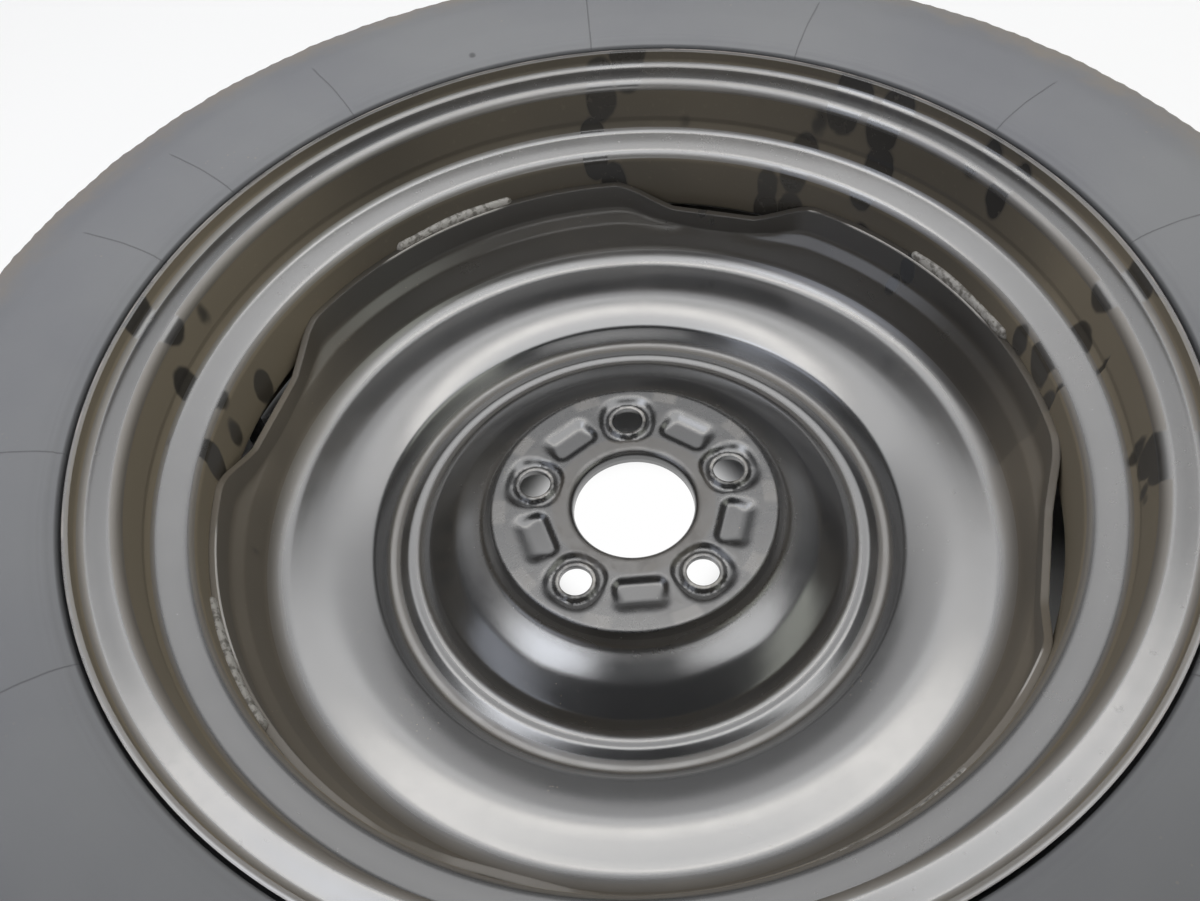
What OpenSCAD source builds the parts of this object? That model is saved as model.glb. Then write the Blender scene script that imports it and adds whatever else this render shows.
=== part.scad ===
// Narrow spare wheel with its tyre, lying on its outboard side.
// The origin is the middle of the hub bore on the mounting face, +Z points inboard.

/* [View] */
// Sub-part to draw, or all of them

/* [Rim] */
// Diameter of the bead seats
seat_d = 462; // [420:0.5:500]
// Distance between the two bead faces
rim_w = 101.6; // [96:0.1:112]
// Sheet thickness of the rolled hoop
rim_t = 2.8; // [2.2:0.1:3.4]
// Height of the flanges over the bead seats
flange_h = 17.3; // [16:0.1:19]
// How far the curled flanges stand out past the bead faces
flange_out = 11.2; // [10:0.1:13]
// Depth of the drop well under the bead seats
well_depth = 20.2; // [17:0.1:23]
// Taper of the bead seats in degrees
seat_taper = 5; // [4:0.1:6]

/* [Disc] */
// Thickness of the pressed disc
disc_t = 3.8; // [3:0.1:4.4]
// Distance of the mounting face from the middle plane of the rim
inset = 37; // [33:0.5:41]
// Radius of the raised hub pad
pad_r = 75.7; // [74:0.1:80]
// Diameter of the hub bore
bore_d = 63.4; // [57:0.1:66]
// Length of the collar that is drawn at the hub bore
bore_collar = 9; // [7:0.1:12]
// Number of lug holes
lug_n = 5; // [4:1:5]
// Diameter of the circle of lug holes
lug_pcd = 108; // [104:0.1:112]
// Diameter of a lug hole
lug_d = 16.4; // [14:0.1:17.5]
// Depth of the recesses and pockets in the hub pad
press_depth = 3.8; // [3:0.1:4.2]
// Angle of the first lug hole
lug_turn = 87.1; // [80:0.1:95]
// Length of a pocket floor along the circle
pocket_l = 25; // [20:0.5:26]
// Width of a pocket floor across the circle
pocket_w = 15; // [12:0.5:16]
// Number of vent notches in the rim of the disc
notch_n = 4; // [3:1:5]
// Angle of the first vent notch
notch_turn = 69.1; // [60:0.1:80]
// Distance of the flat notch walls from the axis
notch_flat = 198; // [195:0.5:201]
// How far the notches cut down the edge of the disc
notch_drop = 15; // [8:0.5:17]
// Arc of a weld bead in degrees
weld_arc = 21; // [12:0.5:30]
// Leg length of a weld bead up the wall of the well
weld_leg = 5.6; // [4:0.1:7]

/* [Tyre] */
// Outside diameter of the tyre
tyre_d = 682; // [660:1:700]
// Width of the tyre over the sidewalls
tyre_w = 139; // [136:0.5:144]
// Width of the flat tread
tread_w = 96; // [86:1:102]
// Depth of the tread grooves
groove_depth = 4; // [2:0.1:5]
// Thickness of rubber under the tread
crown_t = 12; // [10:0.5:15]
// Thickness of the sidewalls
wall_t = 6; // [5:0.5:8]

/* [Valve] */
// Diameter of the valve hole
valve_hole_d = 11.3; // [10.5:0.1:11.8]
// Angle of the valve round the wheel
valve_turn = 159.1; // [150:0.1:170]
// Diameter of the threaded mouth of the valve
stem_d = 7.7; // [7.4:0.05:8]
// Height of the valve over the rim
stem_l = 32; // [30:0.5:36]
// Gap between the cap and the thread
cap_gap = 0.08; // [0.05:0.01:0.1]
// Gap between the valve pin and its guide
pin_gap = 0.05; // [0.03:0.01:0.08]
// Depth the valve pin is pushed
pin_stroke = 1.2; // [0.8:0.1:1.4]

/* [Hidden] */
$fn = 96;
arc_step = 9;
seat_r = seat_d / 2;
half_w = rim_w / 2;
lip_w = half_w + flange_out;
lip_r = seat_r + flange_h;
half_t = rim_t / 2;
bore_r = bore_d / 2;
lug_r = lug_pcd / 2;
hole_r = lug_d / 2;
tyre_r = tyre_d / 2;
well_in_r = seat_r - well_depth - rim_t;
wall_r = well_in_r - disc_t;
// Heights measured from the mounting face
well_lo = -20;
well_hi = 13.5;
edge_z = inset - 1;
notch_z = edge_z - notch_drop;

// Curled flange, heel, bead seat with hump, ledge and drop well, on the middle of the sheet.
// Each entry is a radius, a height over the middle plane of the rim, and a bend radius.
curl_r = 9.5;
seat_in = half_w - 19;
hump_in = half_w - 22.5;
taper_r = tan(seat_taper) * 19;
hoop_path = [
  [lip_r - half_t, lip_w, 0],
  [lip_r - half_t, half_w + half_t, curl_r - half_t],
  [seat_r - half_t, half_w + half_t, 6.5 + half_t],
  [seat_r - half_t - taper_r, seat_in, 3],
  [seat_r - half_t - taper_r + 1, hump_in, 3],
  [seat_r - half_t - 3.6, hump_in - 3.1, 6],
  [well_in_r + half_t, well_hi, 7],
  [well_in_r + half_t, well_lo, 3],
  [seat_r - half_t - 1.7, well_lo, 3],
  [seat_r - half_t - taper_r + 1, -hump_in, 3],
  [seat_r - half_t - taper_r, -seat_in, 3],
  [seat_r - half_t, -half_w - half_t, 6.5 + half_t],
  [lip_r - half_t, -half_w - half_t, curl_r - half_t],
  [lip_r - half_t, -lip_w, 0]
];

// Inboard face of the pressed disc from its welded edge to the end of the bore collar.
// Rings between the pad and the wall stand at a share of the way. The edge is trimmed level later.
function ring(share) = pad_r + share * (wall_r - pad_r);
trim_h = 3;
disc_path = [
  [wall_r, edge_z + trim_h, 0],
  [wall_r, inset - 19, 7],
  [ring(0.957), inset - 25.5, 7],
  [ring(0.921), inset - 39, 10],
  [ring(0.865), inset - 51.5, 8],
  [ring(0.72), -8.6, 48],
  [ring(0.53), -16.6, 20],
  [ring(0.46), -27.6, 5],
  [ring(0.375), -27.6, 5],
  [ring(0.3), -21, 12],
  [ring(0.16), -13.2, 22],
  [ring(0.035), -8, 7],
  [pad_r - 1.2, 0, 2.6],
  [bore_r, 0, 4.2],
  [bore_r, -bore_collar, 0]
];

function unit(v) = v / norm(v);
function flat2(p) = [p[0], p[1]];
function left(v) = [-v[1], v[0]];
function way(p, i) = unit(flat2(p[i + 1]) - flat2(p[i]));
function turn(p, i) = atan2(cross(way(p, i - 1), way(p, i)), way(p, i - 1) * way(p, i));

// The same path moved sideways, with its bends kept concentric
function moved(p, o) = [for (i = [0 : len(p) - 1])
  i == 0 ? concat(flat2(p[0]) + o * left(way(p, 0)), [0])
  : i == len(p) - 1 ? concat(flat2(p[i]) + o * left(way(p, i - 1)), [0])
  : let (a = left(way(p, i - 1)), b = left(way(p, i)), s = turn(p, i) > 0 ? -1 : 1)
    concat(flat2(p[i]) + o * (a + b) / (1 + a * b), [max(0.2, p[i][2] + s * o)])];

// Points along a path with every corner rounded by its bend radius
function rounded(p) = [for (i = [0 : len(p) - 1])
  each (i == 0 || i == len(p) - 1 || abs(turn(p, i)) < 0.5 ? [flat2(p[i])]
  : let (a = way(p, i - 1), b = way(p, i), t = turn(p, i), s = t > 0 ? 1 : -1,
      room = 0.49 * min(norm(flat2(p[i]) - flat2(p[i - 1])), norm(flat2(p[i + 1]) - flat2(p[i]))),
      cut = min(p[i][2] * tan(abs(t) / 2), room), r = cut / tan(abs(t) / 2),
      c = flat2(p[i]) - cut * a + s * r * left(a), n = max(1, ceil(abs(t) / arc_step)))
    [for (k = [0 : n]) c - s * r * (cos(t * k / n) * left(a) - sin(t * k / n) * a)])];

function reversed(v) = [for (i = [len(v) - 1 : -1 : 0]) v[i]];

// Both faces of the hoop, the tyre's side first
hoop_out = moved(hoop_path, half_t);
hoop_inn = moved(hoop_path, -half_t);

module rim() {
  color([0.08, 0.08, 0.085])
  difference() {
    translate([0, 0, inset])
      rotate_extrude($fn = 180)
      polygon(concat(rounded(hoop_out), reversed(rounded(hoop_inn))));
    valve_frame()
      translate([0, 0, -4])
      cylinder(h = 8, d = valve_hole_d, $fn = 48);
  }
}

// Section of the pressed sheet
disc_out = moved(disc_path, disc_t);
module disc_section() {
  polygon(concat(rounded(disc_path), reversed(rounded(disc_out))));
}

// Everything inside the outer face of the disc, used to trim the notch walls
module disc_envelope() {
  rotate_extrude($fn = 180)
    polygon(concat([[0, edge_z + trim_h]], [for (q = rounded(disc_out)) if (q[0] > ring(0.5)) q],
      [[0, -30]]));
}

// Flat wall of a vent notch, bent in from the round wall
notch_half = sqrt(pow(wall_r, 2) - pow(notch_flat - disc_t, 2)) + 0.4;
module notch_wall(a) {
  rotate([0, 0, a])
    translate([notch_flat - disc_t, -notch_half, inset - 41])
    cube([disc_t + 1, 2 * notch_half, edge_z + trim_h - inset + 41]);
}

// What is cut away outside the flat wall and over the lowered edge
module notch_cut(a) {
  rotate([0, 0, a]) {
    translate([notch_flat, -1.5 * notch_half, inset - 48])
      cube([rim_t + well_depth, 3 * notch_half, 1.9 * inset]);
    translate([notch_flat + 20, 0, 0])
      rotate([90, 0, -90])
      linear_extrude(height = 60)
      polygon([[-25, notch_z], [25, notch_z], [25 + 2.25 * (trim_h + notch_drop), edge_z + trim_h],
        [-25 - 2.25 * (trim_h + notch_drop), edge_z + trim_h]]);
  }
}

// Rounded rectangle that grows by run on every side over its height
module pressed_block(l, w, run, h, corner) {
  linear_extrude(height = h, scale = [(l + 2 * run) / l, (w + 2 * run) / w], slices = 1, segments = 0, $fn = 20)
    offset(r = corner)
    square([l - 2 * corner, w - 2 * corner], center = true);
}

pocket_run = 2.4;
module pocket_cut() {
  translate([0, 0, -press_depth])
    pressed_block(pocket_w, pocket_l, pocket_run * 1.05, press_depth * 1.05, 4);
}

module pocket_back() {
  back_w = pocket_w + 4.4;
  back_l = pocket_l + 4;
  translate([0, 0, -press_depth - disc_t])
    pressed_block(back_w, back_l, pocket_run * 0.85, press_depth + 0.2, 6);
}

// Recess ring and raised collar round a lug hole, cut from the inboard face
recess_r = hole_r + 7.5;
module lug_recess() {
  rotate_extrude($fn = 72)
    polygon([[hole_r + 0.4, 1], [hole_r + 0.4, 0.7], [hole_r + 2.2, -0.7], [hole_r + 3.4, -press_depth],
      [recess_r - 2.4, -press_depth], [recess_r - 0.5, -0.7], [recess_r + 1.1, 0.7], [recess_r + 1.1, 1]]);
}

module lug_back() {
  translate([0, 0, -press_depth - disc_t])
    cylinder(h = press_depth + 0.2, r1 = recess_r - 0.9, r2 = recess_r + 1, $fn = 72);
}

// Cone that the nut sits in, and the hole itself
module lug_hole() {
  seat_h = press_depth + disc_t - 3.2;
  translate([0, 0, -press_depth - disc_t - 0.01])
    cylinder(h = seat_h, r1 = hole_r + seat_h * tan(30), r2 = hole_r, $fn = 72);
  translate([0, 0, -14])
    cylinder(h = 16, r = hole_r, $fn = 72);
}

module disc() {
  color([0.09, 0.09, 0.095])
  difference() {
    union() {
      rotate_extrude($fn = 180)
        disc_section();
      intersection() {
        disc_envelope();
        union()
          for (i = [0 : notch_n - 1])
            notch_wall(notch_turn + i * 360 / notch_n);
      }
      for (i = [0 : lug_n - 1]) {
        rotate([0, 0, lug_turn + i * 360 / lug_n])
          translate([lug_r, 0, 0])
          lug_back();
        rotate([0, 0, lug_turn + (i + 0.5) * 360 / lug_n])
          translate([lug_r - 0.5, 0, 0])
          pocket_back();
      }
    }
    for (i = [0 : notch_n - 1])
      notch_cut(notch_turn + i * 360 / notch_n);
    translate([0, 0, edge_z])
      cylinder(h = 2 * trim_h, r = well_in_r + 5, $fn = 180);
    for (i = [0 : lug_n - 1]) {
      rotate([0, 0, lug_turn + i * 360 / lug_n])
        translate([lug_r, 0, 0]) {
          lug_recess();
          lug_hole();
        }
      rotate([0, 0, lug_turn + (i + 0.5) * 360 / lug_n])
        translate([lug_r - 0.5, 0, 0])
        pocket_cut();
    }
  }
}

// Fillet weld in the corner between the edge of the disc and the well
module disc_welds() {
  color([0.13, 0.12, 0.115])
  for (i = [0 : notch_n - 1])
    rotate_extrude(angle = weld_arc, start = notch_turn + (i + 0.5) * 360 / notch_n - weld_arc / 2, $fn = 180)
      polygon([[well_in_r, edge_z], [wall_r + 0.3, edge_z], [wall_r + 0.7, edge_z + weld_leg * 0.25],
        [wall_r + 1.7, edge_z + weld_leg * 0.62], [wall_r + 2.9, edge_z + weld_leg * 0.9],
        [well_in_r, edge_z + weld_leg]]);
}

// Bead foot that follows the rim from the seat to the start of the curl
foot_end = lip_r - curl_r;
bead_foot = [for (q = rounded(hoop_out)) if (q[1] > seat_in + 0.5 && q[0] < foot_end) q];
rim_gap = 1.6;
side_r = lip_r + rim_gap;
side_h = tyre_r - side_r;
bulge_r = side_r + 0.403 * side_h;
bulge_w = tyre_w / 2;
// Outside of one half of the tyre, from the bead foot to the middle of the tread
skin_path = [
  [foot_end, half_w, 0],
  [side_r, half_w, curl_r + rim_gap],
  [side_r, lip_w + 0.6, 2.4],
  [side_r + 0.088 * side_h, lip_w + 4.4, 12],
  [bulge_r - 0.154 * side_h, bulge_w - 0.4, 30],
  [bulge_r + 0.154 * side_h, bulge_w, 40],
  [tyre_r - 0.176 * side_h, bulge_w - 7.6, 24],
  [tyre_r - 0.044 * side_h, tread_w / 2 + 9.5, 5],
  [tyre_r - 0.027 * side_h, tread_w / 2 + 2, 4],
  [tyre_r, tread_w / 4, 90],
  [tyre_r, 0, 0]
];
// Inside of the same half, from the middle of the tread back to the bead toe
cavity_path = [
  [tyre_r - crown_t, 0, 0],
  [tyre_r - crown_t, tread_w / 2 - 8, 16],
  [tyre_r - crown_t - 0.132 * side_h, bulge_w - wall_t - 10, 14],
  [bulge_r + 0.066 * side_h, bulge_w - wall_t, 26],
  [bulge_r - 0.198 * side_h, bulge_w - wall_t - 4, 18],
  [side_r, half_w - 6, 12],
  [seat_r + 7, half_w - 17, 6],
  [seat_r + 0.2, half_w - 19.5, 2],
  [seat_r - taper_r + 0.05, seat_in + 0.5, 0]
];
function flipped(v) = [for (q = v) [q[0], -q[1]]];
half_skin = rounded(skin_path);
half_cavity = rounded(cavity_path);
tyre_ring = concat(reversed(bead_foot), half_skin, reversed(flipped(half_skin)), flipped(bead_foot),
  reversed(flipped(half_cavity)), half_cavity);

module tread_groove(w, r_half) {
  translate([tyre_r - groove_depth, w - r_half])
    square([groove_depth + 4, 2 * r_half]);
}

module tyre() {
  color([0.16, 0.16, 0.165])
  translate([0, 0, inset])
    rotate_extrude($fn = 180)
    difference() {
      polygon(tyre_ring);
      for (s = [-1, 1]) {
        tread_groove(s * tread_w * 0.13, 2.6);
        tread_groove(s * tread_w * 0.36, 2.2);
      }
    }
}

// Valve frame: origin in the middle of the sheet, +Z out through the hole
valve_r = (well_in_r + half_t + seat_r - half_t - 1.7) / 2;
module valve_frame() {
  rotate([0, 0, valve_turn])
    translate([valve_r, 0, inset + well_lo])
    rotate([180, 0, 0])
    children();
}

thread_r = stem_d / 2;
rubber_top = stem_l - 11;
insert_lo = -6;
insert_bore = thread_r - 1.4;
core_r = insert_bore;
mouth = stem_l;
core_hi = mouth - 1;
shelf = core_hi - 4.8 - pin_stroke;
core_lo = shelf - 3;
pin_r = 0.8;
guide_r = pin_r + pin_gap;
cup_r = core_r - 0.75;

module valve_stem() {
  color([0.06, 0.06, 0.06])
  valve_frame()
    rotate_extrude($fn = 64)
    polygon([[thread_r - 0.6, insert_lo], [6.4, insert_lo - 1.4], [7.3, insert_lo], [7.3, -half_t - 2],
      [6.1, -half_t], [valve_hole_d / 2, -half_t], [valve_hole_d / 2, half_t], [6.2, half_t],
      [6.4, half_t + 1.2], [5.9, half_t + 2.6], [5.6, half_t + 3], [5.3, rubber_top - 1.4],
      [4.9, rubber_top], [thread_r - 0.6, rubber_top]]);
}

module valve_insert() {
  color([0.72, 0.56, 0.26])
  valve_frame()
    rotate_extrude($fn = 64)
    polygon([[insert_bore - 0.6, insert_lo], [thread_r - 0.6, insert_lo], [thread_r - 0.6, rubber_top],
      [thread_r, rubber_top], [thread_r, mouth - 0.4], [thread_r - 0.4, mouth],
      [insert_bore, mouth], [insert_bore, core_lo - 4], [insert_bore - 0.6, core_lo - 4.6]]);
}

module core_barrel() {
  color([0.76, 0.6, 0.3])
  valve_frame()
    rotate_extrude($fn = 48)
    polygon([[guide_r, core_lo], [core_r - 0.4, core_lo], [core_r - 0.4, shelf - 1], [core_r, shelf - 0.6],
      [core_r, core_hi], [cup_r, core_hi], [cup_r, shelf], [guide_r, shelf]]);
}

// Soft ring round the barrel that closes the gap to the brass tube
module core_seal() {
  color([0.2, 0.2, 0.2])
  valve_frame()
    rotate_extrude($fn = 48)
    polygon([[core_r - 0.4, core_lo + 0.4], [core_r, core_lo + 0.4], [core_r, shelf - 1.2],
      [core_r - 0.4, shelf - 1.2]]);
}

// Pin with its button on top and the closing disc below the barrel
button_z = core_hi - 0.4;
module core_pin() {
  color([0.8, 0.66, 0.38])
  valve_frame()
    rotate_extrude($fn = 48)
    polygon([[0, core_lo - 1.6], [1.5, core_lo - 1.6], [1.7, core_lo], [pin_r, core_lo],
      [pin_r, button_z - 0.8], [cup_r - 0.12, button_z - 0.8], [cup_r - 0.12, button_z],
      [pin_r, button_z + 0.1], [pin_r - 0.2, mouth - 0.3], [0, mouth - 0.2]]);
}

spring_turns = 6;
spring_wire = 0.16;
spring_r = (pin_r + cup_r) / 2;
module core_spring() {
  spring_h = button_z - 0.8 - shelf;
  color([0.7, 0.7, 0.7])
  valve_frame()
    translate([0, 0, shelf])
    intersection() {
      linear_extrude(height = spring_h, twist = -360 * spring_turns, slices = spring_turns * 16, segments = 8,
        $fn = 8)
        translate([spring_r, 0, 0])
        scale([1, 2.4])
        circle(r = spring_wire);
      cylinder(h = spring_h, r = cup_r, $fn = 24);
    }
}

cap_lo = rubber_top + 1;
cap_r = thread_r + 1.45;
cap_top = mouth + 1.2;
module valve_cap() {
  color([0.05, 0.05, 0.05])
  valve_frame()
    rotate_extrude($fn = 48)
    polygon([[thread_r + cap_gap, cap_lo], [cap_r, cap_lo], [cap_r, cap_top + 0.8], [cap_r - 0.9, cap_top + 1.7],
      [0, cap_top + 1.7], [0, cap_top], [thread_r + cap_gap, cap_top]]);
}

module cap_seal() {
  color([0.3, 0.08, 0.06])
  valve_frame()
    translate([0, 0, mouth])
    cylinder(h = cap_top - mouth, r = thread_r - 0.1, $fn = 48);
}

rim();
disc();
disc_welds();
tyre();
valve_stem();
valve_insert();
core_barrel();
core_seal();
core_pin();
core_spring();
valve_cap();
cap_seal();
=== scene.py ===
import bpy
import math
import numpy as np
from mathutils import Matrix, Vector


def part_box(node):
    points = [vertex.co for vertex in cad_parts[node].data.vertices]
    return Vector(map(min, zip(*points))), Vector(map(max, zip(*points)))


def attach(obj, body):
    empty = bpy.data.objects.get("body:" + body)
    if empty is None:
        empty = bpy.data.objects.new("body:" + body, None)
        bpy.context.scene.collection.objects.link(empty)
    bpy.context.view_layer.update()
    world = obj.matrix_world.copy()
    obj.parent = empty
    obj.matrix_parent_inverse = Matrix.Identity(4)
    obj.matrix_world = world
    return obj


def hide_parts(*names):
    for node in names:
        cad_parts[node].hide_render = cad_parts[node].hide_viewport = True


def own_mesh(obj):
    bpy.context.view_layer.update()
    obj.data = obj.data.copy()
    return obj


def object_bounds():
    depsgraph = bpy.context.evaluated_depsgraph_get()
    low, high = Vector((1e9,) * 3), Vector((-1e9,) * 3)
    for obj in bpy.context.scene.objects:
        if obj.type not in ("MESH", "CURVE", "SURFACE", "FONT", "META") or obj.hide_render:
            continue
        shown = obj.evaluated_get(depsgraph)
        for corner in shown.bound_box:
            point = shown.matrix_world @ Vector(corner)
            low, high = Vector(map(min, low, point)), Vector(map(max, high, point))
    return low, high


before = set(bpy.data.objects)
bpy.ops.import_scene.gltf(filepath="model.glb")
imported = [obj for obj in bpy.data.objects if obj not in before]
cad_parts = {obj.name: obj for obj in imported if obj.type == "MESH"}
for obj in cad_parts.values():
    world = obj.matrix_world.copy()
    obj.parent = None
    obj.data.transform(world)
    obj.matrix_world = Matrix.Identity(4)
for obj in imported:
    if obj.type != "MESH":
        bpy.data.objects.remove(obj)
box_lo, box_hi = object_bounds()
MM = 0.001

# sizes in mm, as in the part's source, apart from the notches' flat wall, which stands further out here
SEAT_R, HALF_W, RIM_T, FLANGE_H, FLANGE_OUT, WELL_D = 231.0, 50.8, 2.8, 17.3, 11.2, 20.2
TAPER = math.tan(math.radians(5)) * 19
DISC_T, INSET, PAD_R, BORE_R, COLLAR = 3.8, 37.0, 75.7, 31.7, 9.0
LUG_N, LUG_R, HOLE_R, PRESS, LUG_TURN = 5, 54.0, 8.2, 3.8, 87.1
POCKET_L, POCKET_W = 25.0, 15.0
NOTCH_N, NOTCH_TURN, NOTCH_FLAT, NOTCH_DROP = 4, 69.1, 201.5, 15.0
WELD_ARC, WELD_LEG = 21.0, 5.6
TYRE_R, TYRE_W, TREAD_W, GROOVE, CROWN, WALL = 341.0, 139.0, 96.0, 4.0, 12.0, 6.0
VALVE_TURN, VALVE_HOLE = 159.1, 11.3
HALF_T = RIM_T / 2
LIP_R = SEAT_R + FLANGE_H
LIP_W = HALF_W + FLANGE_OUT
WELL_IN = SEAT_R - WELL_D - RIM_T
WALL_R = WELL_IN - DISC_T
EDGE_Z = INSET - 1
CURL_R = 9.5
SIDE_R = LIP_R + 1.6
SIDE_H = TYRE_R - SIDE_R
BULGE_R, BULGE_W = SIDE_R + 0.403 * SIDE_H, TYRE_W / 2

# the camera as fitted to the photograph, in degrees, mm and metres
CAM_DOWN, CAM_ROLL, CAM_LENS, CAM_AT = 53.677, 6.876, 33.0, (-0.01411, -0.31526, 0.47695)

# places on the stage, in metres
FLOOR_HALF, FLOOR_GAP, FLAG_Z, PANEL_Z = 6.0, 0.0002, 0.52, 1.25


# profiles with rounded bends
def unit(x, y):
    n = math.hypot(x, y)
    return x / n, y / n


def way(p, i):
    return unit(p[i + 1][0] - p[i][0], p[i + 1][1] - p[i][1])


def turn(p, i):
    a, b = way(p, i - 1), way(p, i)
    return math.atan2(a[0] * b[1] - a[1] * b[0], a[0] * b[0] + a[1] * b[1])


def moved(p, o):
    out = []
    for i, q in enumerate(p):
        if i in (0, len(p) - 1):
            a = way(p, 0 if i == 0 else i - 1)
            out.append((q[0] - o * a[1], q[1] + o * a[0], 0))
        else:
            a, b = way(p, i - 1), way(p, i)
            la, lb = (-a[1], a[0]), (-b[1], b[0])
            k = o / (1 + la[0] * lb[0] + la[1] * lb[1])
            s = -1 if turn(p, i) > 0 else 1
            out.append((q[0] + k * (la[0] + lb[0]), q[1] + k * (la[1] + lb[1]), max(0.2, q[2] + s * o)))
    return out


def rounded(p, step=3.0, gap=3.0):
    """Corner points become arcs of at most step degrees; straight runs get a point every gap mm."""
    pts = []
    for i, q in enumerate(p):
        if i in (0, len(p) - 1) or abs(turn(p, i)) < math.radians(0.5):
            pts.append((q[0], q[1]))
            continue
        a, b, t = way(p, i - 1), way(p, i), turn(p, i)
        s = 1 if t > 0 else -1
        room = 0.49 * min(math.dist(q[:2], p[i - 1][:2]), math.dist(p[i + 1][:2], q[:2]))
        cut = min(q[2] * math.tan(abs(t) / 2), room)
        r = cut / math.tan(abs(t) / 2)
        la = (-a[1], a[0])
        c = (q[0] - cut * a[0] + s * r * la[0], q[1] - cut * a[1] + s * r * la[1])
        n = max(2, math.ceil(math.degrees(abs(t)) / step))
        for k in range(n + 1):
            u = abs(t) * k / n
            pts.append((c[0] - s * r * math.cos(u) * la[0] + r * math.sin(u) * a[0],
                        c[1] - s * r * math.cos(u) * la[1] + r * math.sin(u) * a[1]))
    out = [pts[0]]
    for q in pts[1:]:
        d = math.dist(out[-1], q)
        if d < 1e-6:
            continue
        g = gap(q[0]) if callable(gap) else gap
        n = max(1, math.ceil(d / g))
        o = out[-1]
        out += [(o[0] + (q[0] - o[0]) * k / n, o[1] + (q[1] - o[1]) * k / n) for k in range(1, n + 1)]
    return out


HOOP = [
    (LIP_R - HALF_T, LIP_W, 0), (LIP_R - HALF_T, HALF_W + HALF_T, CURL_R - HALF_T),
    (SEAT_R - HALF_T, HALF_W + HALF_T, 2.6 + HALF_T), (SEAT_R - HALF_T - TAPER, HALF_W - 19, 3),
    (SEAT_R - HALF_T - TAPER + 0.4, HALF_W - 22.5, 5), (SEAT_R - HALF_T - 3.2, HALF_W - 29, 6),
    (WELL_IN + HALF_T, 16.8, 5.5), (WELL_IN + HALF_T, -20, 3), (SEAT_R - HALF_T - 1.7, -20, 3),
    (SEAT_R - HALF_T - TAPER + 1, 22.5 - HALF_W, 3), (SEAT_R - HALF_T - TAPER, 19 - HALF_W, 3),
    (SEAT_R - HALF_T, -HALF_W - HALF_T, 6.5 + HALF_T), (LIP_R - HALF_T, -HALF_W - HALF_T, CURL_R - HALF_T),
    (LIP_R - HALF_T, -LIP_W, 0),
]


def ring(share):
    return PAD_R + share * (WALL_R - PAD_R)


DISC = [
    (WALL_R, EDGE_Z, 0), (WALL_R, INSET - 19, 7), (ring(0.957), INSET - 25.5, 7), (ring(0.9), -11.5, 13),
    (ring(0.66), -11.5, 45), (ring(0.565), -15, 60), (ring(0.50), -18.4, 6), (ring(0.448), -28, 4),
    (ring(0.425), -28, 4),
    (ring(0.365), -25.5, 4), (ring(0.325), -26.5, 5), (ring(0.27), -20.5, 12), (ring(0.16), -13.2, 22),
    (ring(0.035), -8, 7),
    (PAD_R - 1.2, 0, 2.6), (BORE_R, 0, 4.2), (BORE_R, -COLLAR, 0),
]


# mesh helpers
def put_in_scene(name, data):
    ob = bpy.data.objects.new(name, data)
    bpy.context.scene.collection.objects.link(ob)
    return ob


def outward(verts, faces):
    """The same faces, turned round if the closed mesh is inside out."""
    v = np.array(verts, dtype=float)
    tris = np.array([(f[0], f[i], f[i + 1]) for f in faces for i in range(1, len(f) - 1)])
    total = np.einsum("ij,ij->i", v[tris[:, 0]], np.cross(v[tris[:, 1]], v[tris[:, 2]])).sum()
    return faces if total > 0 else [f[::-1] for f in faces]


def new_object(name, verts, faces, material, smooth):
    """A smooth-shaded closed piece that rides on the wheel."""
    me = bpy.data.meshes.new(name)
    faces = outward(verts, faces)
    me.from_pydata([tuple(v) for v in verts], [], faces)
    me.validate()
    me.shade_smooth()
    me.set_sharp_from_angle(angle=math.radians(smooth))
    ob = put_in_scene(name, me)
    me.materials.append(material)
    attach(ob, "wheel")
    return ob


def grid_faces(rows, cols):
    """Faces of a grid that closes both ways."""
    faces = []
    for i in range(rows):
        j = (i + 1) % rows
        for k in range(cols):
            m = (k + 1) % cols
            faces.append((i * cols + k, i * cols + m, j * cols + m, j * cols + k))
    return faces


def revolve(profile, cols):
    """A closed section turned round Z: an array of rows x cols x 3, in mm."""
    a = np.linspace(0, 2 * math.pi, cols, endpoint=False)
    p = np.array(profile)
    out = np.zeros((len(p), cols, 3))
    out[:, :, 0] = p[:, :1] * np.cos(a)
    out[:, :, 1] = p[:, :1] * np.sin(a)
    out[:, :, 2] = p[:, 1:2]
    return out


def cut_with(ob, cutters):
    """Takes the cutters out of a closed piece and keeps the result as its mesh."""
    for c in cutters:
        m = ob.modifiers.new("cut", "BOOLEAN")
        m.object = c
        m.operation = "DIFFERENCE"
        m.solver = "EXACT"
    dg = bpy.context.evaluated_depsgraph_get()
    me = bpy.data.meshes.new_from_object(ob.evaluated_get(dg), depsgraph=dg)
    ob.modifiers.clear()
    old = ob.data
    ob.data = me
    bpy.data.meshes.remove(old)
    for c in cutters:
        m = c.data
        bpy.data.objects.remove(c)
        bpy.data.meshes.remove(m)
    me.shade_smooth()
    me.set_sharp_from_angle(angle=math.radians(32))


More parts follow.
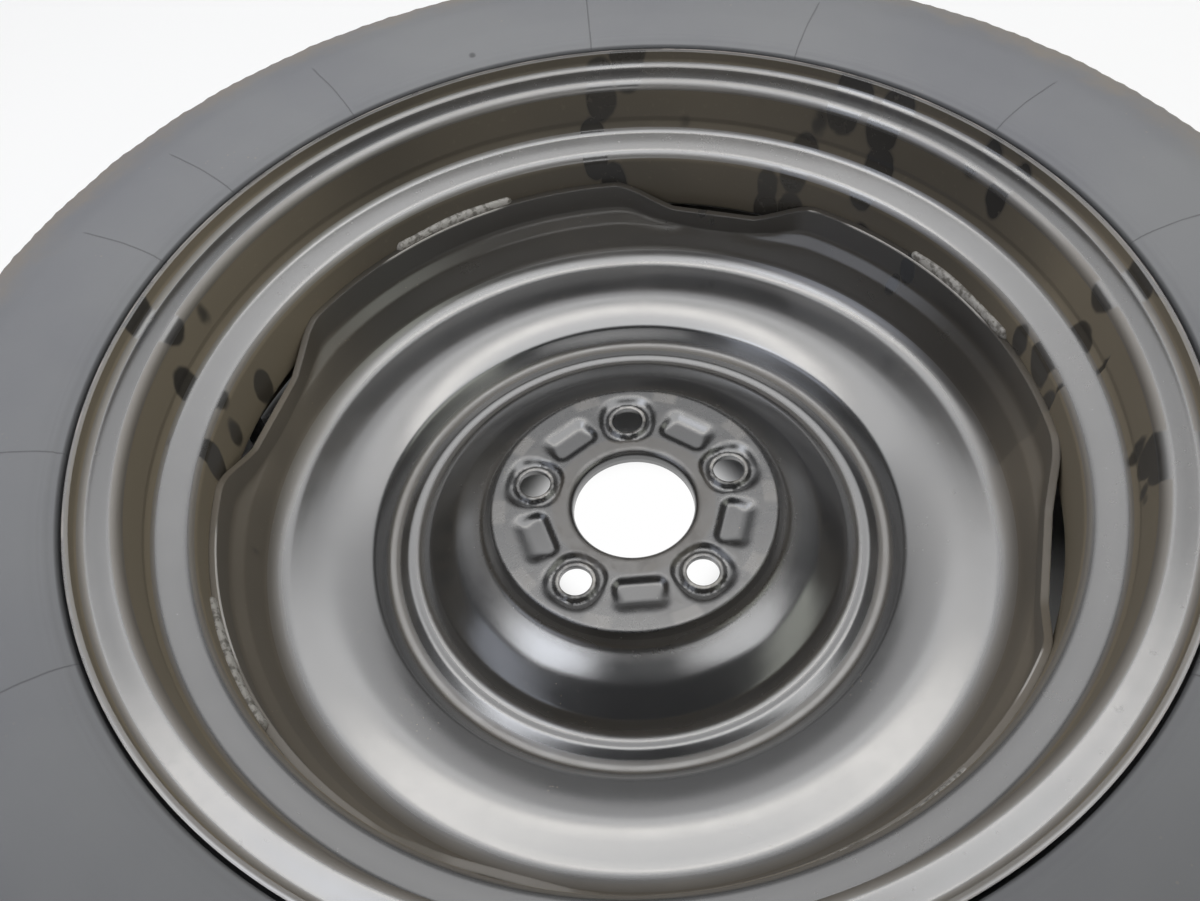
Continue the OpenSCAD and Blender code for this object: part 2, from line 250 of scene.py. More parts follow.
def lathe_cutter(profile, matrix, cols=96):
    """A closed solid of revolution from points on its outside, first and last on the axis."""
    a = [2 * math.pi * k / cols for k in range(cols)]
    verts = [(0, 0, profile[0][1])]
    for r, z in profile[1:-1]:
        verts += [(r * math.cos(t), r * math.sin(t), z) for t in a]
    verts.append((0, 0, profile[-1][1]))
    last, faces = len(verts) - 1, []
    for k in range(cols):
        m = (k + 1) % cols
        faces.append((0, 1 + m, 1 + k))
        for i in range(len(profile) - 3):
            b = 1 + i * cols
            faces.append((b + k, b + m, b + cols + m, b + cols + k))
        b = 1 + (len(profile) - 3) * cols
        faces.append((b + k, b + m, last))
    verts = [tuple(matrix @ Vector(v) * MM) for v in verts]
    me = bpy.data.meshes.new("cutter")
    me.from_pydata(verts, [], outward(verts, faces))
    return put_in_scene("cutter", me)


def more_slots(ob, materials, pick):
    """Adds materials, and gives each face the slot that pick(r, z, normal's z) says, in metres."""
    me = ob.data
    n = len(me.polygons)
    c, w = np.zeros(n * 3), np.zeros(n * 3)
    me.polygons.foreach_get("center", c)
    me.polygons.foreach_get("normal", w)
    c, w = c.reshape(-1, 3), w.reshape(-1, 3)
    for m in materials:
        me.materials.append(m)
    slots = pick(np.hypot(c[:, 0], c[:, 1]), c[:, 2], w[:, 2])
    me.polygons.foreach_set("material_index", slots.astype(np.int32))


def step(x, lo, hi):
    t = np.clip((x - lo) / (hi - lo), 0, 1)
    return t * t * (3 - 2 * t)


# node materials
BEVEL_SAMPLES = 2


class Nodes:
    """Short calls that build a node material. Lengths in the textures are in metres."""

    def __init__(self, name):
        self.mat = bpy.data.materials.new(name)
        self.mat.use_nodes = True
        self.tree = self.mat.node_tree
        self.tree.nodes.clear()
        self.out = self.tree.nodes.new("ShaderNodeOutputMaterial")
        self.co = self.tree.nodes.new("ShaderNodeTexCoord").outputs["Object"]

    def put(self, socket, value):
        if isinstance(value, bpy.types.NodeSocket):
            self.tree.links.new(value, socket)
        elif isinstance(value, (tuple, list)) and socket.type == "RGBA" and len(value) == 3:
            socket.default_value = (*value, 1)
        else:
            socket.default_value = value

    def node(self, kind, ins=(), **props):
        n = self.tree.nodes.new(kind)
        for k, v in props.items():
            setattr(n, k, v)
        for k, v in dict(ins).items():
            self.put(n.inputs[k], v)
        return n

    def math(self, op, a, b=0.0, c=0.0, clamp=False):
        return self.node("ShaderNodeMath", {0: a, 1: b, 2: c}, operation=op, use_clamp=clamp).outputs[0]

    def add(self, a, b):
        return self.math("ADD", a, b)

    def mul(self, a, b):
        return self.math("MULTIPLY", a, b)

    def top(self, first, *others):
        """The highest of the values."""
        for other in others:
            first = self.math("MAXIMUM", first, other)
        return first

    def band(self, x, lo, hi, a=0.0, b=1.0):
        return self.node("ShaderNodeMapRange", {0: x, 1: lo, 2: hi, 3: a, 4: b},
                         interpolation_type="SMOOTHSTEP", clamp=True).outputs[0]

    def window(self, x, lo, hi, soft):
        return self.mul(self.band(x, lo - soft, lo + soft), self.band(x, hi - soft, hi + soft, 1.0, 0.0))

    def noise(self, scale, detail=3.0, rough=0.55, dist=0.0):
        return self.node("ShaderNodeTexNoise", {"Vector": self.co, "Scale": scale, "Detail": detail,
                         "Roughness": rough, "Distortion": dist}).outputs[0]

    def specks(self, scale, size):
        d = self.node("ShaderNodeTexVoronoi", {"Vector": self.co, "Scale": scale, "Randomness": 1.0},
                      feature="F1").outputs["Distance"]
        return self.band(d, size * 0.6, size, 1.0, 0.0)

    def mix(self, fac, a, b):
        n = self.tree.nodes.new("ShaderNodeMix")
        n.data_type = "RGBA"
        self.put(n.inputs[0], fac)
        self.put(n.inputs[6], a)
        self.put(n.inputs[7], b)
        return n.outputs[2]

    def xyz(self):
        s = self.node("ShaderNodeSeparateXYZ", {0: self.co})
        return s.outputs[0], s.outputs[1], s.outputs[2]

    def polar(self):
        x, y, z = self.xyz()
        r = self.math("SQRT", self.add(self.mul(x, x), self.mul(y, y)))
        a = self.mul(self.math("ARCTAN2", y, x), 180 / math.pi)
        a = self.add(a, self.mul(self.math("LESS_THAN", a, 0.0), 360.0))
        return r, a, z

    def ovals(self, r, z, a, zones, size, around=10.4, up=26.0):
        """Wetted ovals in a film of dust on a round wall: 1 inside them.

        They shrink to nothing at a zone's ends. Cells: around them per radian, and up per metre of height."""
        x, y, _ = self.xyz()
        vec = self.node("ShaderNodeCombineXYZ", {0: self.mul(self.math("DIVIDE", x, r), around),
                        1: self.mul(self.math("DIVIDE", y, r), around), 2: self.mul(z, up)}).outputs[0]
        d = self.node("ShaderNodeTexVoronoi", {"Vector": vec, "Scale": 1.0, "Randomness": 0.95},
                      feature="F1").outputs["Distance"]
        d = self.add(d, self.mul(self.add(self.noise(60, 2.0), -0.5), 0.16))
        lim = self.mul(self.top(*(self.window(a, lo, hi, 3.5) for lo, hi in zones)), size)
        return self.band(self.math("SUBTRACT", lim, d), -0.03, 0.05)

    def bump(self, height, dist, strength=1.0, normal=None):
        ins = {"Height": height, "Distance": dist, "Strength": strength}
        if normal is not None:
            ins["Normal"] = normal
        return self.node("ShaderNodeBump", ins).outputs[0]

    def bevel(self, radius):
        return self.node("ShaderNodeBevel", {"Radius": radius}, samples=BEVEL_SAMPLES).outputs[0]

    def shader(self, **ins):
        names = {"base": "Base Color", "rough": "Roughness", "metal": "Metallic", "normal": "Normal",
                 "spec": "Specular IOR Level", "ior": "IOR"}
        n = self.node("ShaderNodeBsdfPrincipled", {names[k]: v for k, v in ins.items()})
        self.tree.links.new(n.outputs[0], self.out.inputs["Surface"])
        return self.mat


# colours, and how strongly clean and dusty paint mirror
PAINT = (0.017, 0.0172, 0.0182)
WARM = (0.078, 0.062, 0.041)
FILM = (0.205, 0.172, 0.122)
WALL_FILM = (0.120, 0.099, 0.070)
PALE = (0.20, 0.185, 0.165)
CLEAN_IOR, PAD_IOR, WALL_IOR, FILM_IOR = 2.7, 2.2, 1.9, 1.5

# stretches of the disc's edge that are rubbed bare and carry a painted highlight, and the mould lines on the
# sidewall, in degrees
BARE_AND_HIGHLIT_EDGE = ((106, 127, 1.5), (52, 68, 1.2), (18, 46, 1.5), (183, 204, 2), (316, 338, 2), (240, 262, 2))
MOULD_LINES = (10.5, 33.0, 61.0, 88.0, 121.0, 140.0, 153.0, 181.0, 206.0, 236.0, 264.0, 291.0, 318.0, 343.0)


def rim_paint(name, ior, warm):
    """Satin black paint with a brown film of dust, wiped and wetted in places."""
    g = Nodes(name)
    r, a, z = g.polar()
    wall = g.window(r, 0.2060, 0.2105, 0.0008)
    seat = g.window(r, 0.2245, 0.2318, 0.0007)
    lip = g.window(r, 0.2425, 0.2470, 0.0006)
    film = g.top(wall, seat, lip)
    fine = g.noise(240, 3.0, 0.6)
    broad = g.noise(11, 2.0, 0.5)
    wet = g.ovals(r, z, a, ((-6, 12), (24, 33), (40, 64), (75, 92), (152, 176), (340, 350)), 0.46)
    dust = g.mul(film, g.math("SUBTRACT", 1.0, g.mul(wet, 0.85)))
    dust = g.mul(dust, g.add(0.72, g.mul(broad, 0.55)))
    dust = g.mul(dust, g.add(1.0, g.mul(g.window(a, 18, 134, 16), -0.62)))
    dust = g.add(dust, g.mul(g.band(fine, 0.60, 0.75), 0.12))
    ledge = g.mul(g.band(g.noise(5, 2.0), 0.45, 0.7), 0.10)
    dust = g.math("ADD", dust, ledge, clamp=True)
    speck = g.mul(g.specks(420, 0.13), g.band(g.noise(30), 0.58, 0.66))
    colour = g.mix(dust, PAINT, warm)
    colour = g.mix(g.mul(speck, 0.6), colour, (0.22, 0.17, 0.11))
    edge = g.mul(g.window(r, LIP_R * MM - 0.0009, LIP_R * MM + 0.001, 0.0002), g.band(z, 0.0976, 0.0986))
    chip = g.mul(edge, g.add(0.25, g.mul(g.band(g.noise(40, 3.0), 0.46, 0.62), 0.6)))
    colour = g.mix(chip, colour, (0.24, 0.205, 0.18))
    rough = g.add(g.mul(dust, 0.42), g.add(0.17, g.mul(g.noise(60, 4.0), 0.10)))
    rough = g.add(rough, g.mul(chip, 0.2))
    n = g.bump(g.noise(900, 2.0), 0.00003, 0.35, normal=g.bevel(0.0009))
    n = g.bump(g.noise(26, 2.0, 0.4), 0.0004, 0.28, normal=n)
    return g.shader(base=colour, rough=rough, normal=n, ior=ior)


def pad_wear(g, r, a, z, mid, colour):
    """Smears, rubbed edge and worn collars. Gives the new colour, the pad's area and the smears on it."""
    pad = g.mul(g.band(r, 0.0755, 0.0745), g.band(z, -0.0012, -0.0003))
    smear = g.mul(pad, g.band(g.noise(90, 5.0, 0.65, dist=0.8), 0.47, 0.64))
    turn_a = g.math("PINGPONG", g.add(a, 18.0 - LUG_TURN % 36 + 360.0), 18.0)
    share = g.band(g.add(turn_a, g.mul(mid, 5.0)), 6.6, 9.6, 1.0, 0.0)
    touch = g.mul(g.mul(g.window(r, 0.0672, 0.0742, 0.0007), share), pad)
    colour = g.mix(g.mul(smear, 0.14), colour, (0.105, 0.098, 0.090))
    colour = g.mix(g.mul(touch, g.add(0.15, g.mul(mid, 0.5))), colour, PALE)
    lug_a = g.mul(g.math("PINGPONG", g.add(a, 360.0 - LUG_TURN), 36.0), math.pi / 180)
    lug_u, lug_v = g.add(g.mul(r, g.math("COSINE", lug_a)), -LUG_R * MM), g.mul(r, g.math("SINE", lug_a))
    lug_d = g.math("SQRT", g.add(g.mul(lug_u, lug_u), g.mul(lug_v, lug_v)))
    worn = g.mul(g.window(lug_d, 0.0084, 0.0100, 0.0004), g.add(0.1, g.mul(g.band(mid, 0.42, 0.60), 0.8)))
    worn = g.mul(worn, g.band(z, -0.0040, -0.0020))
    colour = g.mix(worn, colour, (0.34, 0.32, 0.29))
    return colour, pad, smear


def disc_paint(name, ior, warm, on_pad=False):
    """The same paint on the pressed disc, dusty in the valleys, and rubbed where it is on the pad."""
    g = Nodes(name)
    r, a, z = g.polar()
    fine = g.noise(260, 3.0, 0.6)
    broad = g.noise(9, 3.0, 0.55)
    mid = g.noise(48, 3.0, 0.6)
    wall = g.band(g.add(r, g.mul(g.add(broad, -0.5), 0.006)), 0.1840, 0.1900)
    wet = g.mul(g.ovals(r, z, a, ((66, 82), (181, 194), (24, 36)), 0.33),
                g.band(r, 0.186, 0.190))
    groove = g.top(g.window(r, 0.1280, 0.1345, 0.0012), g.mul(g.window(r, 0.1145, 0.1190, 0.002), 0.5))
    foot = g.window(r, 0.0775, 0.0850, 0.003)
    bore = g.window(r, 0.0335, 0.0425, 0.0015)
    wall = g.mul(wall, g.math("SUBTRACT", 1.0, g.mul(wet, 0.92)))
    wall = g.mul(wall, g.add(1.0, g.mul(g.window(a, 4, 142, 16), -0.72)))
    dust = g.add(g.mul(wall, g.add(0.55, g.mul(broad, 0.55))), g.mul(groove, g.add(0.22, g.mul(mid, 0.75))))
    dust = g.add(dust, g.mul(foot, 0.16))
    dust = g.add(dust, g.mul(bore, g.mul(mid, 0.8)))
    dust = g.add(dust, g.mul(g.band(broad, 0.50, 0.72), 0.12))
    dust = g.math("ADD", dust, g.mul(g.band(fine, 0.62, 0.78), 0.14), clamp=True)
    colour = g.mix(dust, PAINT, warm)
    if on_pad:
        colour, pad, smear = pad_wear(g, r, a, z, mid, colour)
    # bare steel and painted highlight: a pale line on the disc's top edge along the listed stretches
    rim_line = g.mul(g.window(r, 0.2036, 0.2050, 0.0002), g.band(z, 0.0346, 0.0357))
    bare_and_highlit = g.top(*(g.window(a, lo, hi, soft) for lo, hi, soft in BARE_AND_HIGHLIT_EDGE))
    bare_edge_and_highlight = g.mul(rim_line, g.mul(bare_and_highlit, 0.9))
    colour = g.mix(bare_edge_and_highlight, colour, (0.46, 0.44, 0.41))
    speck = g.mul(g.specks(330, 0.12), g.band(g.noise(24), 0.56, 0.66))
    colour = g.mix(g.mul(speck, 0.7), colour, (0.26, 0.21, 0.14))
    rough = g.add(g.mul(dust, 0.42), g.add(0.15, g.mul(g.noise(55, 4.0), 0.10)))
    n = g.bump(g.noise(1000, 2.0), 0.00003, 0.3, normal=g.bevel(0.0012))
    n = g.bump(g.noise(30, 2.0, 0.4), 0.0003, 0.2, normal=n)
    if on_pad:
        rough = g.add(rough, g.add(g.mul(smear, 0.12), g.mul(pad, 0.06)))
        n = g.bump(smear, 0.00005, 0.4, normal=n)
    return g.shader(base=colour, rough=rough, normal=n, ior=ior)


def rubber():
    """Grey, bloomed rubber with mould lines across the sidewall, earth on the shoulder and painted shade next
    to the rim's lip.
    """
    g = Nodes("tyre_rubber")
    r, a, z = g.polar()
    soft = g.noise(7, 3.0, 0.5)
    mid = g.noise(60, 4.0, 0.6)
    fine = g.noise(900, 3.0, 0.6)
    colour = g.mix(g.band(soft, 0.32, 0.68), (0.172, 0.175, 0.187), (0.197, 0.200, 0.206))
    uneven = g.add(a, g.mul(g.add(mid, -0.5), 0.15))
    side = g.window(r, 0.2502, 0.2960, 0.002)
    lines = g.mul(g.top(*(g.window(uneven, at - 0.075, at + 0.075, 0.05) for at in MOULD_LINES)), side)
    shoulder = g.band(g.add(r, g.mul(g.add(g.noise(38, 4.0, 0.65), -0.5), 0.05)), 0.304, 0.338)
    earth = g.mul(shoulder, g.add(0.25, g.mul(g.noise(110, 4.0, 0.7), 0.9)))
    colour = g.mix(g.math("MULTIPLY", earth, 0.85, clamp=True), colour, (0.235, 0.200, 0.160))
    dots = g.mul(g.specks(17, 0.052), side)
    colour = g.mix(g.mul(dots, 0.65), colour, (0.045, 0.045, 0.046))
    colour = g.mix(g.mul(lines, 0.45), colour, (0.05, 0.05, 0.052))
    pale = g.mul(g.specks(210, 0.15), g.band(g.noise(20), 0.58, 0.68))
    colour = g.mix(g.mul(pale, 0.45), colour, (0.30, 0.27, 0.22))
    # painted shade: the rubber is darkened in a thin ring just outside the rim's lip
    painted_shade_by_lip = g.band(r, 0.2502, 0.2515, 0.6, 0.0)
    colour = g.mix(painted_shade_by_lip, colour, (0.03, 0.03, 0.031))
    rough = g.add(0.62, g.mul(mid, 0.2))
    h = g.add(g.mul(fine, 0.4), g.mul(mid, 0.8))
    n = g.bump(h, 0.00012, 0.5)
    n = g.bump(g.mul(lines, -1.0), 0.0004, 0.6, normal=n)
    return g.shader(base=colour, rough=rough, normal=n, spec=0.35)


def weld_paint():
    """Bare, pale weld metal with darker scale in its ripples."""
    g = Nodes("weld_paint")
    mid = g.noise(300, 4.0, 0.6)
    colour = g.mix(g.band(mid, 0.42, 0.62), (0.36, 0.345, 0.32), (0.13, 0.12, 0.105))
    colour = g.mix(g.mul(g.specks(900, 0.2), 0.5), colour, (0.30, 0.28, 0.25))
    n = g.bump(mid, 0.00025, 0.8)
    return g.shader(base=colour, rough=g.add(0.38, g.mul(mid, 0.3)), normal=n, spec=0.6)


def soft_black(name, tone, rough):
    g = Nodes(name)
    mid = g.noise(400, 4.0, 0.6)
    colour = g.mix(g.band(mid, 0.4, 0.7), tone, tuple(c * 1.7 + 0.012 for c in tone))
    n = g.bump(g.noise(1500, 2.0), 0.00003, 0.4, normal=g.bevel(0.0003))
    return g.shader(base=colour, rough=g.add(rough, g.mul(mid, 0.2)), normal=n, spec=0.4)


def metal(name, tone, rough):
    g = Nodes(name)
    mid = g.noise(500, 4.0, 0.6)
    colour = g.mix(g.band(mid, 0.42, 0.66), tone, tuple(c * 0.55 for c in tone))
    n = g.bump(g.noise(2400, 2.0), 0.00002, 0.4, normal=g.bevel(0.0002))
    return g.shader(base=colour, rough=g.add(rough, g.mul(mid, 0.25)), normal=n, metal=1.0)


MATS = {
    "black_paint": rim_paint("rim_paint", CLEAN_IOR, WARM),
    "rim_film": rim_paint("rim_film", FILM_IOR, FILM),
    "disc": disc_paint("disc_paint", CLEAN_IOR, WARM),
    "disc_film": disc_paint("disc_film", WALL_IOR, WALL_FILM),
    "disc_pad": disc_paint("pad_paint", PAD_IOR, WARM, on_pad=True),
    "tyre_rubber": rubber(),
    "painted_weld": weld_paint(),
    "valve_rubber": soft_black("valve_rubber", (0.028, 0.028, 0.029), 0.5),
    "cap_plastic": soft_black("cap_plastic", (0.022, 0.022, 0.024), 0.35),
    "brass": metal("brass", (0.62, 0.45, 0.20), 0.28),
    "spring_steel": metal("spring_steel", (0.55, 0.55, 0.56), 0.3),
}


# camera
def make_camera():
    cam = bpy.data.cameras.new("photo_camera")
    cam.sensor_width = 36.0
    cam.lens = CAM_LENS
    cam.clip_start, cam.clip_end = 0.01, 50
    ob = put_in_scene("photo_camera", cam)
    el, roll = math.radians(CAM_DOWN), math.radians(CAM_ROLL)
    fwd = Vector((0, math.cos(el), -math.sin(el)))
    down = Vector((0, -math.sin(el), -math.cos(el)))
    xr = math.cos(roll) * Vector((1, 0, 0)) + math.sin(roll) * down
    yr = -math.sin(roll) * Vector((1, 0, 0)) + math.cos(roll) * down
    m = Matrix.Identity(4)
    for i in range(3):
        m[i][0], m[i][1], m[i][2] = xr[i], -yr[i], -fwd[i]
    m.translation = CAM_AT
    ob.matrix_world = m
    bpy.context.scene.camera = ob


make_camera()


# rim: the rolled hoop
def dusty_walls(r, z, nz):
    """1 on the steep walls of the well and the seat, and on the inside of the lip."""
    deep = (np.abs(nz) < 0.45) & (r < 0.2312) & (z < 0.0855)
    lip = (np.abs(nz) < 0.5) & (r > 0.242) & (r < 0.247) & (z > 0.091)
    return deep | lip


def make_rim():
    outer, inner = rounded(moved(HOOP, HALF_T), 15, 16), rounded(moved(HOOP, -HALF_T), 5, 6)
    section = [(r, z + INSET) for r, z in outer + inner[::-1]]
    g = revolve(section, 360)
    ob = new_object("rim_hoop", g.reshape(-1, 3) * MM, grid_faces(len(section), 360), MATS["black_paint"],
                    smooth=40)
    vr = (WELL_IN + HALF_T + SEAT_R - HALF_T - 1.7) / 2
    at = Matrix.Rotation(math.radians(VALVE_TURN), 4, "Z") @ Matrix.Translation((vr, 0, INSET - 20))
    h = VALVE_HOLE / 2
    cut_with(ob, [lathe_cutter([(0, -5), (h, -5), (h, 5), (0, 5)], at)])
    more_slots(ob, [MATS["rim_film"]], dusty_walls)
    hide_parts("rim")


# disc: drawn bowl, hub pad, notches
def lug_sites():
    """The middle of each lug hole, and its angle."""
    angles = [math.radians(LUG_TURN + i * 360 / LUG_N) for i in range(LUG_N)]
    return [(LUG_R * math.cos(t), LUG_R * math.sin(t), t) for t in angles]


def press_depth(x, y, grow):
    """Depth of the pressed recesses under the pad. On the back the shapes are wider by the sheet."""
    deep = PRESS - 1.2 if grow == 0 else PRESS
    depth = np.zeros_like(x)
    for cx, cy, t in lug_sites():
        dx, dy = x - cx, y - cy
        u, v = dx * math.cos(t) + dy * math.sin(t), -dx * math.sin(t) + dy * math.cos(t)
        d = np.hypot(dx, dy)
        wide = (np.abs(u) ** 2.6 + np.abs(v) ** 2.6) ** (1 / 2.6)
        out = step(u, -5, 6)
        ring_d = deep * (1 - step(wide, HOLE_R + 4.6 + grow - 1.6 * out, HOLE_R + 7.2 + grow + 2.0 * out))
        if grow == 0:
            ring_d = 0.25 + (ring_d - 0.25) * step(d, HOLE_R + 1.6, HOLE_R + 4.0)
            ring_d = ring_d + 0.6 * (1 - step(d, HOLE_R - 0.4, HOLE_R + 1.2))
        depth = np.maximum(depth, ring_d)
        s = t + math.radians(36)
        cx, cy = (LUG_R - 0.5) * math.cos(s), (LUG_R - 0.5) * math.sin(s)
        dx, dy = x - cx, y - cy
        out = step(dx * math.cos(s) + dy * math.sin(s), -4, 5)
        u, v = np.abs(dx * math.cos(s) + dy * math.sin(s)), np.abs(-dx * math.sin(s) + dy * math.cos(s))
        c = 4 + grow * 0.5
        qx, qy = u - (POCKET_W / 2 + grow * 0.6 - c), v - (POCKET_L / 2 + grow * 0.6 - c)
        sd = np.hypot(np.maximum(qx, 0), np.maximum(qy, 0)) + np.minimum(np.maximum(qx, qy), 0) - c
        depth = np.maximum(depth, deep * (1 - step(sd, -1.8 - 3.2 * out, 2.6 + 1.4 * out)))
    return depth


def notch_shape(g, limit):
    """Bends the round wall in to flat chords and lowers the edge there, one notch every quarter."""
    x, y, z = g[:, :, 0], g[:, :, 1], g[:, :, 2]
    lift = np.clip((z - 6) / (EDGE_Z - 6), 0, 1)
    for i in range(NOTCH_N):
        t = math.radians(NOTCH_TURN + i * 360 / NOTCH_N)
        u, v = x * math.cos(t) + y * math.sin(t), -x * math.sin(t) + y * math.cos(t)
        near = u > limit * 0.6
        k = 1.6
        d = u - limit
        soft = np.where(np.abs(d) < k, -(d + k) ** 2 / (4 * k), np.where(d >= k, -d, 0.0))
        bend = np.where(near & (z > -12), soft * step(z, -9, 0), 0.0)
        u2 = u + bend
        slope = np.clip((np.abs(v) - 25) / 34, 0, 1)
        drop = NOTCH_DROP * (1 - (0.7 * slope + 0.3 * step(np.abs(v), 23, 61)))
        z2 = np.where(near & (u > limit * 0.9), z - drop * lift, z)
        x = np.where(near, u2 * math.cos(t) - v * math.sin(t), x)
        y = np.where(near, u2 * math.sin(t) + v * math.cos(t), y)
        z = np.where(near, z2, z)
    return np.stack([x, y, z], axis=2)


def wall_or_pad(r, z, nz):
    """1 on the disc's wall, 2 on the hub pad."""
    return np.where(r > 0.1925, 1, np.where((r < 0.0762) & (z > -0.006), 2, 0))


def make_disc():
    inboard = rounded(DISC, 5.5, lambda r: 1.0 if r < 75 else 5.0)
    outboard = rounded(moved(DISC, DISC_T), 14.0, lambda r: 2.8 if r < 75 else 16.0)
    a, b = revolve(inboard, 360), revolve(outboard, 360)
    for g, grow in ((a, 0.0), (b, 2.4)):
        r = np.hypot(g[:, :, 0], g[:, :, 1])
        on_pad = step(r, BORE_R + 1, BORE_R + 3) * (1 - step(r, PAD_R - 1, PAD_R + 2))
        g[:, :, 2] -= press_depth(g[:, :, 0], g[:, :, 1], grow) * on_pad
    a = notch_shape(a, NOTCH_FLAT - DISC_T)
    b = notch_shape(b, NOTCH_FLAT)
    g = np.concatenate([a, b[::-1]])
    ob = new_object("pressed_disc", g.reshape(-1, 3) * MM, grid_faces(len(g), 360), MATS["disc"], smooth=38)
    cutters = []
    for cx, cy, t in lug_sites():
        at = Matrix.Translation((cx, cy, 0))
        seat_h = PRESS + DISC_T - 3.2
        z0 = -PRESS - DISC_T
        r1 = HOLE_R + seat_h * math.tan(math.radians(30))
        nut_cone = [(0, z0 - 4), (r1 + 2.3, z0 - 4), (r1, z0), (HOLE_R, z0 + seat_h), (HOLE_R, 3), (0, 3)]
        cutters.append(lathe_cutter(nut_cone, at))
    cut_with(ob, cutters)
    more_slots(ob, [MATS["disc_film"], MATS["disc_pad"]], wall_or_pad)
    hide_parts("disc")


# welds: rippled fillets
def make_welds():
    rng = np.random.default_rng(7)
    verts, faces = [], []
    n, m = 150, 11
    for i in range(NOTCH_N):
        a0 = NOTCH_TURN + (i + 0.5) * 360 / NOTCH_N - WELD_ARC / 2
        base = len(verts)
        phase = rng.uniform(0, 1)
        for k in range(n + 1):
            s = k / n
            ends = min(1, math.sqrt(max(0.0, min(s, 1 - s)) / 0.035))
            saw = (s * 42 + phase) % 1.0
            ripple = 0.35 * (saw ** 1.6) + rng.normal(0, 0.05)
            size = (0.80 + 0.18 * math.sin(s * 9 + phase * 6) * 0.5) * ends
            t = math.radians(a0 + WELD_ARC * s)
            pts = []
            for j in range(m):
                u = j / (m - 1) * math.pi / 2
                leg_r, leg_z = 3.4 * size + 0.05, (WELD_LEG - 0.5) * size + 0.05
                bulge = 1 + 0.10 * math.sin(2 * u) + 0.06 * ripple * math.sin(2 * u) * 2
                pts.append((WELL_IN + 0.02 - leg_r * math.cos(u) * bulge, EDGE_Z + leg_z * math.sin(u) * bulge))
            pts += [(WELL_IN + 0.02, EDGE_Z - 0.02), (WELL_IN - 3.4 * size, EDGE_Z - 0.02)]
            verts += [(r * math.cos(t) * MM, r * math.sin(t) * MM, z * MM) for r, z in pts]
        w = m + 2
        for k in range(n):
            for j in range(w):
                p, q = base + k * w + j, base + k * w + (j + 1) % w
                faces.append((p, q, q + w, p + w))
        faces.append(tuple(base + j for j in range(w))[::-1])
        faces.append(tuple(base + n * w + j for j in range(w)))
    ob = new_object("weld_beads", verts, faces, MATS["painted_weld"], smooth=50)
    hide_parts("disc_welds")


# tyre: the side that shows is finer than the other
def tyre_half(fine):
    """Outside of one half in its own rising radius, from the bead foot to the middle of the tread."""
    foot = [q for q in rounded(moved(HOOP, HALF_T), 15, 12) if q[1] > HALF_W - 18.5 and q[0] < LIP_R - CURL_R]
    skin = [
        (LIP_R - CURL_R, HALF_W, 0), (SIDE_R, HALF_W, CURL_R + 1.6), (SIDE_R, LIP_W + 0.6, 2.4),
        (SIDE_R + 0.088 * SIDE_H, LIP_W + 4.4, 12), (BULGE_R - 0.154 * SIDE_H, BULGE_W - 0.4, 30),
        (BULGE_R + 0.154 * SIDE_H, BULGE_W, 40), (TYRE_R - 0.176 * SIDE_H, BULGE_W - 7.6, 24),
        (TYRE_R - 0.044 * SIDE_H, TREAD_W / 2 + 9.5, 5), (TYRE_R - 0.027 * SIDE_H, TREAD_W / 2 + 2, 4),
        (TYRE_R, TREAD_W / 4, 90), (TYRE_R, 0, 0),
    ]

    def gap(r):
        return (1.3 if SIDE_R + 1 < r < SIDE_R + 12 else 4.5) if fine else 10.0
    pts = rounded(skin, 7 if fine else 14, gap)
    side = [q for q in pts if q[1] >= TREAD_W / 2]
    crown = [q for q in pts if q[1] < TREAD_W / 2]
    out = []
    for r, z in side:
        rib = 0.35 * math.exp(-((r - SIDE_R - 4.5) / 0.7) ** 2)
        rib -= 0.25 * math.exp(-((r - SIDE_R - 8.5) / 0.8) ** 2)
        rib += 0.4 * math.exp(-((r - BULGE_R - 26) / 1.0) ** 2)
        out.append((r, z + rib if z > LIP_W else z))
    cuts = [(TREAD_W * at, half) for at, half in ((0.36, 2.2), (0.13, 2.6))]
    zs = [z for _, z in crown if all(abs(z - at) > half for at, half in cuts)]
    zs += [at + s * h for at, half in cuts for s in (-1, 1) for h in (half, half - 0.25)]
    flat = [q[::-1] for q in crown[::-1]]
    for z in sorted(zs, reverse=True):
        r = float(np.interp(z, [q[0] for q in flat], [q[1] for q in flat]))
        deep = any(abs(z - at) < half - 0.1 for at, half in cuts)
        out.append((r - GROOVE if deep else r, z))
    return foot[::-1] + out[1:]


